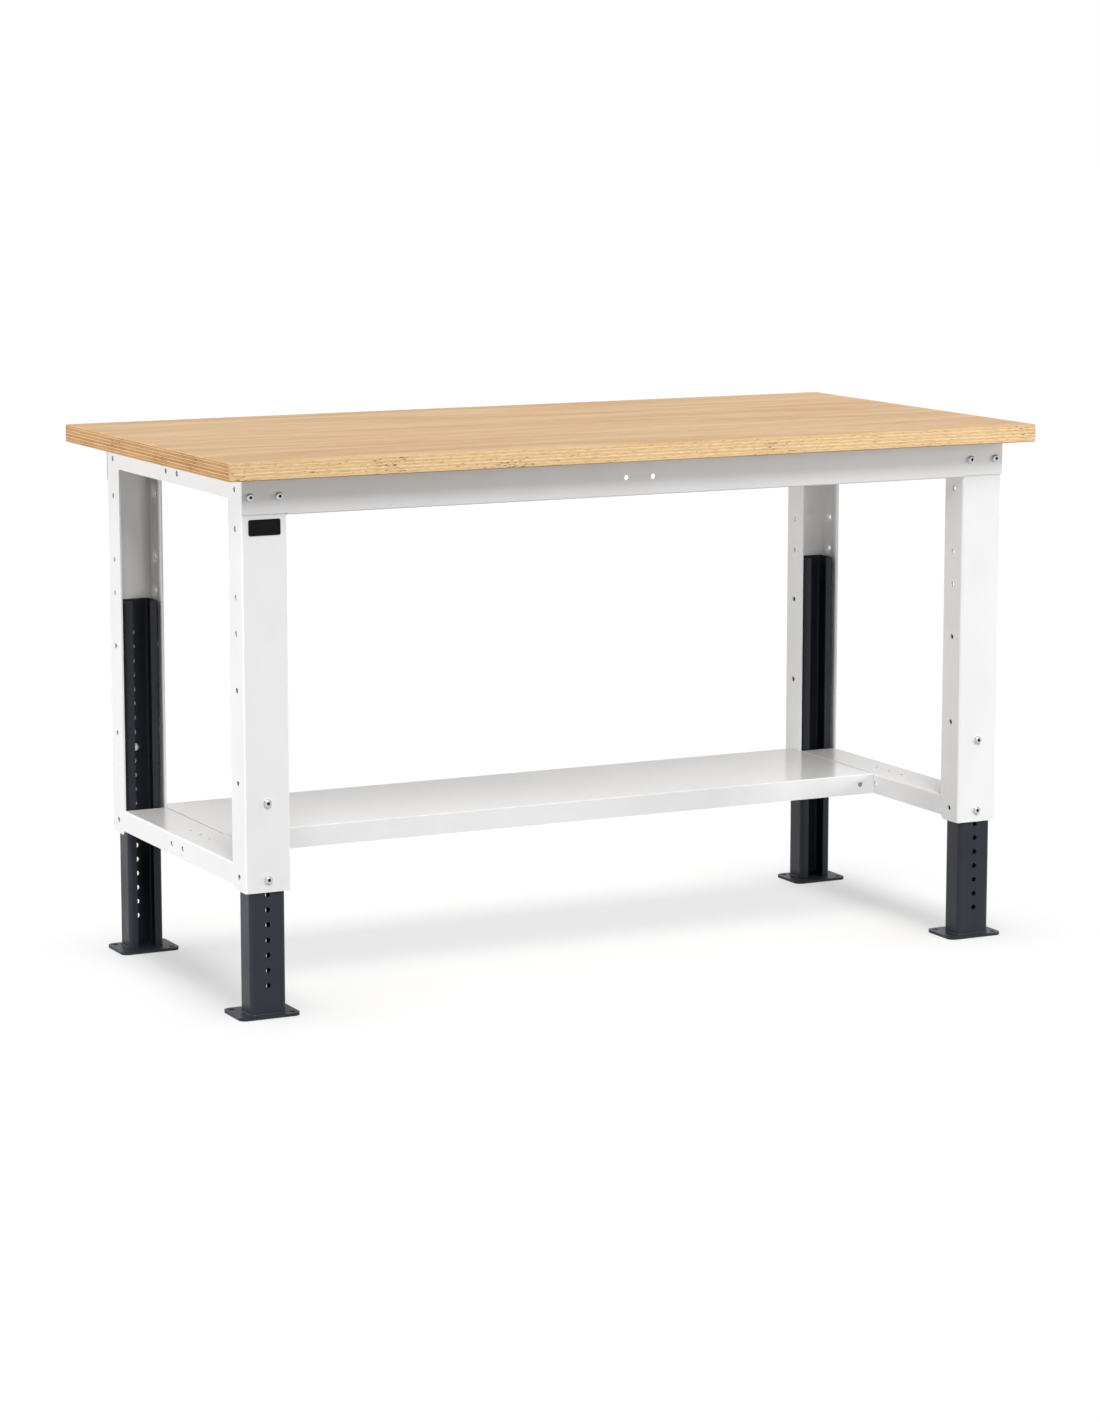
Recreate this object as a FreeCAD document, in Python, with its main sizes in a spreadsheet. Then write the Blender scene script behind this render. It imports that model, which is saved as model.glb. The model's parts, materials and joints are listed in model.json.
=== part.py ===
import FreeCAD
import Part
import Sketcher
import math
import os

from FreeCAD import Placement, Rotation, Vector

# Height-adjustable workbench. X runs along the worktop, the front is towards -Y, Z is up,
# and the origin is on the floor under the middle of the worktop. Sizes are in millimetres.

doc = FreeCAD.newDocument("workbench")
sheet = doc.addObject("Spreadsheet::Sheet", "sizes")

driving_sizes = [
    ("topLength", 1500, "worktop along X"),
    ("topDepth", 750, "worktop along Y"),
    ("topThick", 30, "worktop thickness"),
    ("topEdge", 1.5, "bevel of the worktop's edges"),
    ("sideOverhang", 39, "worktop's end to the outer flange of the uprights"),
    ("frontSetback", 47, "worktop's front edge to the front uprights"),
    ("rearOverhang", 98, "worktop's rear edge to the rear uprights"),
    ("uprightWidth", 78, "web of an upright, and width of the cross rails"),
    ("uprightFlange", 56, "flange of an upright, measured from the web's outer face"),
    ("uprightLength", 670, "length of an upright"),
    ("frameWall", 3, "sheet of the uprights and cross rails"),
    ("frameBend", 3.5, "outside bend of the uprights and cross rails"),
    ("flangeCorner", 8, "bevelled lower corner of an upright's flange"),
    ("flangeHoleDia", 9, "accessory holes along the flanges"),
    ("flangeHole1", 20, "accessory hole below the upright's top end"),
    ("flangeHole2", 83, "accessory hole below the upright's top end"),
    ("flangeHole3", 193, "accessory hole below the upright's top end"),
    ("flangeHole4", 251, "accessory hole below the upright's top end"),
    ("flangeHole5", 343, "accessory hole below the upright's top end"),
    ("flangeHole6", 494, "accessory hole below the upright's top end"),
    ("flangeHole7", 647, "accessory hole below the upright's top end"),
    ("railHeight", 36, "height of the cross rails and of the shelf"),
    ("lowerRailLift", 7, "foot of the uprights to the underside of the lower rails"),
    ("railHoleSpan", 50, "between the two holes in a rail's side walls"),
    ("railTopHoleDia", 6, "small holes in the top of a lower rail"),
    ("railTopHolePitch", 43, "between the small holes"),
    ("railTopHoleShift", 8, "middle small hole in front of the rail's middle"),
    ("drainDia", 8, "drain holes at the ends of a lower rail"),
    ("drainInset", 19, "drain hole to the end of the rail"),
    ("beamHeight", 61, "height of the front and rear beams"),
    ("beamFlange", 30, "flange of a beam, measured from its outer face"),
    ("beamWall", 2, "sheet of the beams"),
    ("beamBend", 2.5, "outside bend of the beams"),
    ("beamEndGap", 1, "ends of the beam's flanges to the uprights"),
    ("beamTabInset", 3, "tab over an upright, narrower than the beam at each edge"),
    ("beamScrewSpan", 50, "between the two screws at each end of a beam"),
    ("beamHoleSpan", 50, "between the two accessory holes in the middle of a beam"),
    ("beamTopScrewSpan", 760, "between the two worktop screws along a beam"),
    ("driverHoleDia", 14, "access for the screwdriver below each worktop screw"),
    ("shelfFrontReach", 42.5, "front shelf screws to the shelf's front edge"),
    ("shelfRearInset", 20, "rear face of the uprights to the shelf's rear edge"),
    ("shelfWall", 1.5, "sheet of the shelf"),
    ("shelfBend", 2, "outside bend of the shelf"),
    ("shelfGap", 0.2, "end of the shelf to the lower rail"),
    ("shelfHoleInset", 27, "hole in the shelf's front and rear lips to its end"),
    ("shelfScrewInset", 36, "rear shelf screw to the rear end of the lower rail"),
    ("legWidth", 62, "web of a telescopic leg"),
    ("legDepth", 48, "depth of a telescopic leg"),
    ("legLength", 606, "length of a telescopic leg above its base plate"),
    ("legWall", 3, "sheet of the legs"),
    ("legBend", 5, "inside bend of the legs"),
    ("legLip", 15, "lip of the leg at each side of its open face"),
    ("legSlack", 0.5, "leg's web to the upright's web"),
    ("firstHole", 52.5, "floor to the lowest height hole of a leg"),
    ("holePitch", 25, "between the height holes"),
    ("holeCount", 21, "height holes in a leg"),
    ("setting", 7, "height holes below the lower lock screw"),
    ("lockInset", 20.5, "lower lock screw to the foot of the upright"),
    ("lockPitches", 5, "height holes between the two lock screws of a leg"),
    ("plateLength", 106, "base plate along X"),
    ("plateDepth", 82, "base plate along Y"),
    ("plateThick", 5, "base plate thickness"),
    ("plateCorner", 12, "base plate's rounded corners"),
    ("plateInset", 34, "outer face of the upright to the middle of the base plate"),
    ("anchorDia", 10, "floor anchor holes"),
    ("anchorSpanX", 82, "between the two anchor holes, along X"),
    ("anchorSpanY", 58, "between the two anchor holes, along Y"),
    ("screwDia", 8, "shank of the machine screws"),
    ("screwSlack", 1, "clearance hole wider than the shank"),
    ("screwHeadDia", 14, "button head"),
    ("screwHeadHeight", 4.4, "button head"),
    ("screwBevel", 1.8, "bevel of the button head"),
    ("screwTail", 2, "shank beyond the nut"),
    ("nutSize", 13, "hexagon nut across flats"),
    ("nutHeight", 6.5, "hexagon nut"),
    ("nutSlack", 0.2, "nut to the leg that slides under it, and its thread to the shank"),
    ("woodScrewDia", 5, "shank of the worktop screws"),
    ("woodScrewLength", 25, "worktop screw below its head"),
    ("woodScrewHeadDia", 10, "pan head"),
    ("woodScrewHeadHeight", 3.5, "pan head"),
    ("pilotSlack", 0.2, "pilot hole wider than the worktop screw"),
    ("labelWidth", 55, "blank plate on the front left upright"),
    ("labelHeight", 26, "blank plate"),
    ("labelThick", 1, "blank plate"),
    ("labelCorner", 2, "bevel of the blank plate's corners"),
    ("labelDrop", 79.5, "underside of the worktop to the middle of the blank plate"),
]
for row, (alias, value, meaning) in enumerate(driving_sizes, start=1):
    sheet.set(f"A{row}", meaning)
    sheet.set(f"B{row}", str(value))
    sheet.setAlias(f"B{row}", alias)
doc.recompute()

# Places and sizes that several pieces share, each worked out from the driving sizes.
frame_width = "(sizes.topLength - 2 * sizes.sideOverhang)"
frame_depth = "(sizes.topDepth - sizes.frontSetback - sizes.rearOverhang)"
leg_x = f"({frame_width} - sizes.uprightWidth) / 2"
inner_x = f"({frame_width} / 2 - sizes.uprightWidth)"
front_y = "(sizes.frontSetback - sizes.topDepth / 2)"
rear_y = f"({front_y} + {frame_depth})"
middle_y = f"({front_y} + {frame_depth} / 2)"
lock_low_z = "(sizes.firstHole + sizes.setting * sizes.holePitch)"
lock_high_z = f"({lock_low_z} + sizes.lockPitches * sizes.holePitch)"
foot_z = f"({lock_low_z} - sizes.lockInset)"
under_top_z = f"({foot_z} + sizes.uprightLength)"
lower_rail_z = f"({foot_z} + sizes.lowerRailLift + sizes.railHeight)"
beam_screw_z = f"({under_top_z} - sizes.beamHeight / 2)"
rail_length = f"({frame_depth} - 2 * sizes.uprightFlange)"
leg_bend = "(sizes.legWall + sizes.legBend)"
leg_offset = "(sizes.frameWall + sizes.legSlack)"
screw_hole = "(sizes.screwDia + sizes.screwSlack)"
pilot_hole = "(sizes.woodScrewDia + sizes.pilotSlack)"
wood_screw_hole = "(sizes.woodScrewDia + sizes.screwSlack)"
shelf_front_y = f"({middle_y} + sizes.railHoleSpan / 2 - sizes.shelfFrontReach)"
shelf_depth = f"({rear_y} - sizes.shelfRearInset - {shelf_front_y})"
shelf_y = f"({shelf_front_y} + {shelf_depth} / 2)"
shelf_length = f"(2 * {inner_x} - 2 * sizes.shelfGap)"
shelf_hole_y = ["(sizes.railHoleSpan / 2)", f"({rail_length} / 2 - sizes.shelfScrewInset)"]
rail_screw_y = [f"(-{rail_length} / 3)", f"({rail_length} / 3)"]
beam_screw_x = ["(-sizes.beamTopScrewSpan / 2)", "(sizes.beamTopScrewSpan / 2)"]
beam_screw_y = "(sizes.beamFlange / 2)"

left_right = {"left": -1, "right": 1}
front_rear = {"front": 1, "rear": -1}
hole_sides = 8
head_sides = 8
nut_sides = 6
nodes = []


def value(expression):
    return float(sheet.evalExpression(expression))


def bind(item, paths):
    for path, expression in paths.items():
        item.setExpression(path, str(expression))


def new_body(label):
    body = doc.addObject("PartDesign::Body", label)
    body.Label = label
    return body


def origin_feature(body, role):
    return next(item for item in body.Origin.OriginFeatures if item.Role == role)


def new_sketch(body, name, plane, offset=None):
    sketch = body.newObject("Sketcher::SketchObject", name)
    sketch.AttachmentSupport = (origin_feature(body, plane), [""])
    sketch.MapMode = "FlatFace"
    for direction, expression in (offset or {}).items():
        bind(sketch, {f"AttachmentOffset.Base.{direction}": expression})
    return sketch


def dimension(sketch, expression, kind, *where):
    index = sketch.addConstraint(Sketcher.Constraint(kind, *where, value(expression)))
    bind(sketch, {f"Constraints[{index}]": expression})


def draw_rectangle(sketch, width, height):
    x = value(width) / 2
    y = value(height) / 2
    corners = [Vector(-x, -y), Vector(x, -y), Vector(x, y), Vector(-x, y)]
    for side in range(4):
        sketch.addGeometry(Part.LineSegment(corners[side], corners[(side + 1) % 4]))
    for side in range(4):
        sketch.addConstraint(Sketcher.Constraint("Coincident", side, 2, (side + 1) % 4, 1))
        sketch.addConstraint(Sketcher.Constraint("Horizontal" if side % 2 == 0 else "Vertical", side))
    sketch.addConstraint(Sketcher.Constraint("Symmetric", 0, 1, 1, 2, -1, 1))
    dimension(sketch, width, "DistanceX", 0, 1, 0, 2)
    dimension(sketch, height, "DistanceY", 1, 1, 1, 2)


def draw_rounded_rectangle(sketch, width, height, corner):
    x = value(width) / 2
    y = value(height) / 2
    r = value(corner)
    sides = [
        (Vector(r - x, -y), Vector(x - r, -y)),
        (Vector(x, r - y), Vector(x, y - r)),
        (Vector(x - r, y), Vector(r - x, y)),
        (Vector(-x, y - r), Vector(-x, r - y)),
    ]
    middles = [Vector(x - r, r - y), Vector(x - r, y - r), Vector(r - x, y - r), Vector(r - x, r - y)]
    for start, end in sides:
        sketch.addGeometry(Part.LineSegment(start, end))
    for quarter, middle in enumerate(middles):
        circle = Part.Circle(middle, Vector(0, 0, 1), r)
        start_angle = (quarter - 1) * math.pi / 2
        sketch.addGeometry(Part.ArcOfCircle(circle, start_angle, start_angle + math.pi / 2))
    for side in range(4):
        sketch.addConstraint(Sketcher.Constraint("Tangent", side, 2, 4 + side, 1))
        sketch.addConstraint(Sketcher.Constraint("Tangent", 4 + side, 2, (side + 1) % 4, 1))
        sketch.addConstraint(Sketcher.Constraint("Horizontal" if side % 2 == 0 else "Vertical", side))
    for quarter in range(1, 4):
        sketch.addConstraint(Sketcher.Constraint("Equal", 4, 4 + quarter))
    sketch.addConstraint(Sketcher.Constraint("Symmetric", 4, 3, 6, 3, -1, 1))
    dimension(sketch, corner, "Radius", 4)
    dimension(sketch, width, "DistanceX", 3, 1, 1, 1)
    dimension(sketch, height, "DistanceY", 0, 1, 2, 1)


def draw_circles(sketch, spots, diameter):
    for x, y in spots:
        middle = Vector(value(x), value(y))
        circle = sketch.addGeometry(Part.Circle(middle, Vector(0, 0, 1), value(diameter) / 2))
        dimension(sketch, diameter, "Diameter", circle)
        dimension(sketch, x, "DistanceX", -1, 1, circle, 3)
        dimension(sketch, y, "DistanceY", -1, 1, circle, 3)


def body_volume(body):
    return body.Shape.Volume if body.Tip and not body.Shape.isNull() else 0.0


def pad(body, sketch, length, name="pad", reverse=False, both_ways=False):
    before = body_volume(body)
    feature = body.newObject("PartDesign::Pad", name)
    feature.Profile = sketch
    feature.SideType = "Symmetric" if both_ways else "One side"
    feature.Reversed = reverse
    bind(feature, {"Length": length})
    doc.recompute()
    if body_volume(body) <= before:
        raise ValueError(f"{body.Label}: {name} adds nothing")
    return feature


def cut(body, sketch, name, depth=None, reverse=False):
    # Without a depth the cut goes right through, both ways from its sketch.
    before = body_volume(body)
    feature = body.newObject("PartDesign::Pocket", name)
    feature.Profile = sketch
    feature.Type = "Length" if depth else "ThroughAll"
    feature.SideType = "One side" if depth else "Symmetric"
    feature.Reversed = reverse
    if depth:
        bind(feature, {"Length": depth})
    doc.recompute()
    if body_volume(body) >= before:
        raise ValueError(f"{body.Label}: {name} cuts nothing")
    return feature


def draw_holes(sketch, spots, across):
    # Holes with a few flat sides around the given width, since the bench has so many of them.
    corner = f"({across}) / 2 / {math.cos(math.pi / hole_sides):.6f}"
    radius = value(corner)
    turns = [(2 * step - 1) * math.pi / hole_sides for step in range(hole_sides)]
    for x, y in spots:
        middle = Vector(value(x), value(y))
        guide = sketch.addGeometry(Part.Circle(middle, Vector(0, 0, 1), radius), True)
        corners = [middle + Vector(radius * math.cos(turn), radius * math.sin(turn)) for turn in turns]
        sides = sketch.addGeometry([Part.LineSegment(corners[step], corners[(step + 1) % hole_sides])
                                    for step in range(hole_sides)])
        rules = [Sketcher.Constraint("Vertical", sides[0])]
        for step, side in enumerate(sides):
            following = sides[(step + 1) % hole_sides]
            rules.append(Sketcher.Constraint("Coincident", side, 2, following, 1))
            rules.append(Sketcher.Constraint("PointOnObject", side, 1, guide))
            if step > 0:
                rules.append(Sketcher.Constraint("Equal", sides[0], side))
        sketch.addConstraint(rules)
        dimension(sketch, corner, "Radius", guide)
        dimension(sketch, x, "DistanceX", -1, 1, guide, 3)
        dimension(sketch, y, "DistanceY", -1, 1, guide, 3)


def drill(body, name, plane, spots, across, depth=None, reverse=False, offset=None):
    sketch = new_sketch(body, f"{name}_outlines", plane, offset)
    draw_holes(sketch, spots, across)
    return cut(body, sketch, name, depth, reverse)


def prism(body, name, sides, across_corners, height, base="0"):
    feature = body.newObject("PartDesign::AdditivePrism", name)
    feature.AttachmentSupport = (origin_feature(body, "XY_Plane"), [""])
    feature.MapMode = "FlatFace"
    feature.Polygon = sides
    radius = f"({across_corners}) / 2"
    bind(feature, {"Circumradius": radius, "Height": height, "AttachmentOffset.Base.z": base})
    doc.recompute()
    return feature


def straight_edges(feature, along=None, x=None, y=None, z=None):
    # Straight edges, by direction and by where their middles lie.
    names = []
    for number, edge in enumerate(feature.Shape.Edges, start=1):
        middle = edge.CenterOfMass
        wanted = [(middle.x, x), (middle.y, y), (middle.z, z)]
        if not isinstance(edge.Curve, Part.Line):
            continue
        if along and abs(edge.tangentAt(edge.FirstParameter).dot(along)) < 0.999:
            continue
        if all(place is None or abs(found - value(place)) < 1e-4 for found, place in wanted):
            names.append(f"Edge{number}")
    return names


def round_edges(body, feature, edges, radius, name="rounding"):
    fillet = body.newObject("PartDesign::Fillet", name)
    fillet.Base = (feature, edges)
    bind(fillet, {"Radius": radius})
    doc.recompute()
    return fillet


def bevel_edges(body, feature, edges, size, name="bevel"):
    chamfer = body.newObject("PartDesign::Chamfer", name)
    chamfer.Base = (feature, edges)
    bind(chamfer, {"Size": size})
    doc.recompute()
    return chamfer


def shell(body, feature, wall, open_sides):
    # Hollows the block to a sheet of the given wall, with the named sides left open.
    faces = []
    for number, face in enumerate(feature.Shape.Faces, start=1):
        if isinstance(face.Surface, Part.Plane):
            normal = face.normalAt(0, 0)
            if any(normal.dot(side) > 0.999 for side in open_sides):
                faces.append(f"Face{number}")
    sheet_metal = body.newObject("PartDesign::Thickness", "sheet")
    sheet_metal.Base = (feature, faces)
    sheet_metal.Reversed = True
    bind(sheet_metal, {"Value": wall})
    doc.recompute()
    return sheet_metal


def place(item, x="0", y="0", z="0", axis=Vector(0, 0, 1), turn=0):
    item.Placement = Placement(Vector(), Rotation(axis, turn))
    bind(item, {"Placement.Base.x": x, "Placement.Base.y": y, "Placement.Base.z": z})


def group(label, master, spots):
    # Copies of one fastener, each with its own place and direction, kept as one node.
    copies = []
    for number, spot in enumerate(spots, start=1):
        copy = doc.addObject("App::Link", f"{label}_{number}")
        copy.LinkedObject = master
        place(copy, **spot)
        copies.append(copy)
    compound = doc.addObject("Part::Compound", label)
    compound.Label = label
    compound.Links = copies
    nodes.append(compound)


# Directions used by the shells, edges and fasteners.
along_x = Vector(1, 0, 0)
along_y = Vector(0, 1, 0)
along_z = Vector(0, 0, 1)


def outward(end):
    # Turns a fastener's axis from +Z to the outside of the front or rear of the bench.
    return {"axis": along_x, "turn": 90 * front_rear[end]}


def inward(end):
    return {"axis": along_x, "turn": -90 * front_rear[end]}


def face_y(end, depth):
    # A place behind the outer face of the front or rear uprights, towards the middle of the bench.
    return f"{front_y} + {depth}" if end == "front" else f"{rear_y} - {depth}"


def make_worktop():
    body = new_body("worktop")
    outline = new_sketch(body, "outline", "XY_Plane")
    draw_rectangle(outline, "sizes.topLength", "sizes.topDepth")
    board = pad(body, outline, "sizes.topThick")
    bevel_edges(body, board, straight_edges(board), "sizes.topEdge")
    rails = [(f"{side} * {leg_x}", f"{middle_y} + {y}")
             for side in left_right.values() for y in rail_screw_y]
    beams = [(x, face_y(end, f"({beam_screw_y} - sizes.beamWall)"))
             for end in front_rear for x in beam_screw_x]
    drill(body, "pilot_holes", "XY_Plane", rails + beams, pilot_hole, "sizes.woodScrewLength", reverse=True)
    place(body, z=under_top_z)
    nodes.append(body)


def make_upright(end, side):
    # A U-channel, web outwards, hung from its upper end with its flanges towards the middle.
    body = new_body(f"upright_{end}_{side}")
    outline = new_sketch(body, "outline", "XY_Plane", {"y": "sizes.uprightFlange / 2"})
    draw_rectangle(outline, "sizes.uprightWidth", "sizes.uprightFlange")
    block = pad(body, outline, "sizes.uprightLength", reverse=True)
    channel = shell(body, block, "sizes.frameWall", [along_y, along_z, -along_z])
    edges = straight_edges(channel, along_z, y="0")
    bent = round_edges(body, channel, edges, "sizes.frameBend", "bends")
    corners = straight_edges(bent, along_x, y="sizes.uprightFlange", z="-sizes.uprightLength")
    bevel_edges(body, bent, corners, "sizes.flangeCorner", "flange_corners")
    rows = [("sizes.uprightFlange / 2", f"-sizes.flangeHole{number}") for number in range(1, 8)]
    drill(body, "flange_holes", "YZ_Plane", rows, "sizes.flangeHoleDia")
    lock_low = "-sizes.uprightLength + sizes.lockInset"
    spots = [
        ("-sizes.beamScrewSpan / 2", "-sizes.beamHeight / 2"),
        ("sizes.beamScrewSpan / 2", "-sizes.beamHeight / 2"),
        ("0", lock_low),
        ("0", f"{lock_low} + sizes.lockPitches * sizes.holePitch"),
    ]
    drill(body, "web_holes", "XZ_Plane", spots, screw_hole)
    turn = 0 if end == "front" else 180
    place(body, f"{left_right[side]} * {leg_x}", face_y(end, "0"), under_top_z, turn=turn)
    nodes.append(body)


def make_rail_channel(body):
    # An inverted U-channel along Y, with its top at height zero and two holes in both side walls.
    outline = new_sketch(body, "outline", "XZ_Plane", {"y": "-sizes.railHeight / 2"})
    draw_rectangle(outline, "sizes.uprightWidth", "sizes.railHeight")
    block = pad(body, outline, rail_length, both_ways=True)
    channel = shell(body, block, "sizes.frameWall", [-along_z, along_y, -along_y])
    round_edges(body, channel, straight_edges(channel, along_y, z="0"), "sizes.frameBend", "bends")
    spots = [(f"{way} * sizes.railHoleSpan / 2", "-sizes.railHeight / 2") for way in (-1, 1)]
    drill(body, "side_holes", "YZ_Plane", spots, screw_hole)


def make_top_rail(side):
    body = new_body(f"top_rail_{side}")
    make_rail_channel(body)
    spots = [("0", y) for y in rail_screw_y]
    drill(body, "worktop_screw_holes", "XY_Plane", spots, wood_screw_hole)
    place(body, f"{left_right[side]} * {leg_x}", middle_y, under_top_z)
    nodes.append(body)


def make_lower_rail(side):
    body = new_body(f"lower_rail_{side}")
    make_rail_channel(body)
    steps = [("0", f"{step} * sizes.railTopHolePitch - sizes.railTopHoleShift") for step in (-1, 0, 1)]
    drill(body, "small_top_holes", "XY_Plane", steps, "sizes.railTopHoleDia")
    ends = [("0", f"{way} * ({rail_length} / 2 - sizes.drainInset)") for way in (-1, 1)]
    drill(body, "drain_holes", "XY_Plane", ends, "sizes.drainDia")
    # The rear shelf screw goes through the inner wall only.
    spots = [(shelf_hole_y[1], "-sizes.railHeight / 2")]
    drill(body, "shelf_screw_hole", "YZ_Plane", spots, screw_hole, "sizes.uprightWidth", side == "left")
    place(body, f"{left_right[side]} * {leg_x}", middle_y, lower_rail_z)
    nodes.append(body)


def make_beam(end):
    # A C-channel between the uprights whose web runs on as a tab over each of them.
    body = new_body(f"{end}_beam")
    outline = new_sketch(body, "outline", "YZ_Plane", {"x": beam_screw_y, "y": "-sizes.beamHeight / 2"})
    draw_rectangle(outline, "sizes.beamFlange", "sizes.beamHeight")
    block = pad(body, outline, f"2 * {inner_x} - 2 * sizes.beamEndGap", both_ways=True)
    channel = shell(body, block, "sizes.beamWall", [along_y, along_x, -along_x])
    round_edges(body, channel, straight_edges(channel, along_x, y="0"), "sizes.beamBend", "bends")
    tabs = new_sketch(body, "tabs", "XZ_Plane", {"y": "-sizes.beamHeight / 2"})
    draw_rectangle(tabs, frame_width, "sizes.beamHeight - 2 * sizes.beamTabInset")
    pad(body, tabs, "sizes.beamWall", "end_tabs", reverse=True)
    if end == "front":
        accessories = new_sketch(body, "accessories", "XZ_Plane", {"y": "-sizes.beamHeight / 2"})
        draw_circles(accessories, [(f"{way} * sizes.beamHoleSpan / 2", "0") for way in (-1, 1)], screw_hole)
        cut(body, accessories, "accessory_holes")
    ends = [(f"{side} * {leg_x} + {way} * sizes.beamScrewSpan / 2", "-sizes.beamHeight / 2")
            for side in (-1, 1) for way in (-1, 1)]
    drill(body, "end_screw_holes", "XZ_Plane", ends, screw_hole)
    screws = [(x, beam_screw_y) for x in beam_screw_x]
    drill(body, "worktop_screw_holes", "XY_Plane", screws, wood_screw_hole, "sizes.beamHeight / 2")
    below = {"z": "-sizes.beamHeight"}
    half = "sizes.beamHeight / 2"
    drill(body, "driver_holes", "XY_Plane", screws, "sizes.driverHoleDia", half, True, below)
    turn = 0 if end == "front" else 180
    place(body, y=face_y(end, "(-sizes.beamWall)"), z=under_top_z, turn=turn)
    nodes.append(body)


def make_shelf():
    # A shallow tray, open side down, as deep as the rails that it hangs between.
    body = new_body("shelf")
    outline = new_sketch(body, "outline", "XY_Plane")
    draw_rectangle(outline, shelf_length, shelf_depth)
    block = pad(body, outline, "sizes.railHeight", reverse=True)
    tray = shell(body, block, "sizes.shelfWall", [-along_z])
    round_edges(body, tray, straight_edges(tray, z="0"), "sizes.shelfBend", "bends")
    spots = [(f"{way} * ({shelf_length} / 2 - sizes.shelfHoleInset)", "-sizes.railHeight / 2")
             for way in (-1, 1)]
    drill(body, "lip_holes", "XZ_Plane", spots, screw_hole)
    spots = [(f"{middle_y} + {y} - {shelf_y}", "-sizes.railHeight / 2") for y in shelf_hole_y]
    drill(body, "end_screw_holes", "YZ_Plane", spots, screw_hole)
    place(body, y=shelf_y, z=lower_rail_z)
    nodes.append(body)


def make_leg(end, side):
    # A lipped C-channel, web outwards, with one row of height holes down the web.
    body = new_body(f"leg_{end}_{side}")
    outline = new_sketch(body, "outline", "XY_Plane", {"y": "sizes.legDepth / 2"})
    draw_rounded_rectangle(outline, "sizes.legWidth", "sizes.legDepth", leg_bend)
    block = pad(body, outline, "sizes.legLength")
    shell(body, block, "sizes.legWall", [along_z, -along_z])
    mouth = new_sketch(body, "mouth", "XZ_Plane", {"y": "sizes.legLength / 2", "z": "-sizes.legDepth / 2"})
    draw_rectangle(mouth, "sizes.legWidth - 2 * sizes.legLip", "sizes.legLength")
    cut(body, mouth, "open_face", depth="sizes.legDepth")
    spots = [("0", "sizes.firstHole - sizes.plateThick")]
    lowest = drill(body, "lowest_hole", "XZ_Plane", spots, screw_hole)
    row = body.newObject("PartDesign::LinearPattern", "height_holes")
    row.Originals = [lowest]
    row.Direction = (origin_feature(body, "Z_Axis"), [""])
    bind(row, {"Length": "sizes.holePitch * (sizes.holeCount - 1)", "Occurrences": "sizes.holeCount"})
    body.Tip = row
    doc.recompute()
    turn = 0 if end == "front" else 180
    place(body, f"{left_right[side]} * {leg_x}", face_y(end, leg_offset), "sizes.plateThick", turn=turn)
    nodes.append(body)


def make_base_plate(end, side):
    body = new_body(f"base_plate_{end}_{side}")
    outline = new_sketch(body, "outline", "XY_Plane")
    draw_rounded_rectangle(outline, "sizes.plateLength", "sizes.plateDepth", "sizes.plateCorner")
    pad(body, outline, "sizes.plateThick")
    # The two anchor holes lie across a diagonal, clear of the leg between them.
    anchors = new_sketch(body, "anchors", "XY_Plane")
    spots = [(f"{way} * sizes.anchorSpanX / 2", f"{-way} * sizes.anchorSpanY / 2") for way in (-1, 1)]
    draw_circles(anchors, spots, "sizes.anchorDia")
    cut(body, anchors, "anchor_holes")
    turn = 0 if end == "front" else 180
    place(body, f"{left_right[side]} * {leg_x}", face_y(end, "sizes.plateInset"), turn=turn)
    nodes.append(body)


def make_screw(name, head_dia, head_height, shank_dia, length):
    # A low head, seated at height zero on top of its shank.
    body = new_body(name)
    prism(body, "head", head_sides, head_dia, head_height)
    prism(body, "shank", hole_sides, shank_dia, length, base=f"-({length})")
    return body


def make_machine_screw(name, length):
    sizes = [f"sizes.screw{size}" for size in ("HeadDia", "HeadHeight", "Dia")]
    body = make_screw(name, *sizes, length)
    rim = straight_edges(body.Tip, z="sizes.screwHeadHeight")
    bevel_edges(body, body.Tip, rim, "sizes.screwBevel", "rim")
    return body


def make_nut():
    body = new_body("hexagon_nut")
    across_corners = f"sizes.nutSize / {math.cos(math.pi / nut_sides):.6f}"
    prism(body, "hexagon", nut_sides, across_corners, "sizes.nutHeight")
    drill(body, "thread", "XY_Plane", [("0", "0")], "(sizes.screwDia + sizes.nutSlack)")
    return body


def make_lock_fasteners(nut):
    grip = "sizes.frameWall + sizes.legSlack + sizes.legWall + sizes.nutSlack"
    screw = make_machine_screw("lock_screw", f"{grip} + sizes.nutHeight + sizes.screwTail")
    spots = [(end, f"{side} * {leg_x}", z)
             for end in front_rear for side in left_right.values() for z in (lock_low_z, lock_high_z)]
    group("lock_screws", screw,
          [dict(x=x, y=face_y(end, "0"), z=z, **outward(end)) for end, x, z in spots])
    group("lock_nuts", nut,
          [dict(x=x, y=face_y(end, f"({grip})"), z=z, **inward(end)) for end, x, z in spots])


def make_beam_fasteners(nut):
    grip = "sizes.beamWall + sizes.frameWall"
    screw = make_machine_screw("beam_screw", f"{grip} + sizes.nutHeight + sizes.screwTail")
    spots = [(end, f"{side} * {leg_x} + {way} * sizes.beamScrewSpan / 2")
             for end in front_rear for side in (-1, 1) for way in (-1, 1)]
    seat = "(-sizes.beamWall)"
    group("beam_screws", screw,
          [dict(x=x, y=face_y(end, seat), z=beam_screw_z, **outward(end)) for end, x in spots])
    group("beam_nuts", nut,
          [dict(x=x, y=face_y(end, "sizes.frameWall"), z=beam_screw_z, **inward(end)) for end, x in spots])


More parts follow.
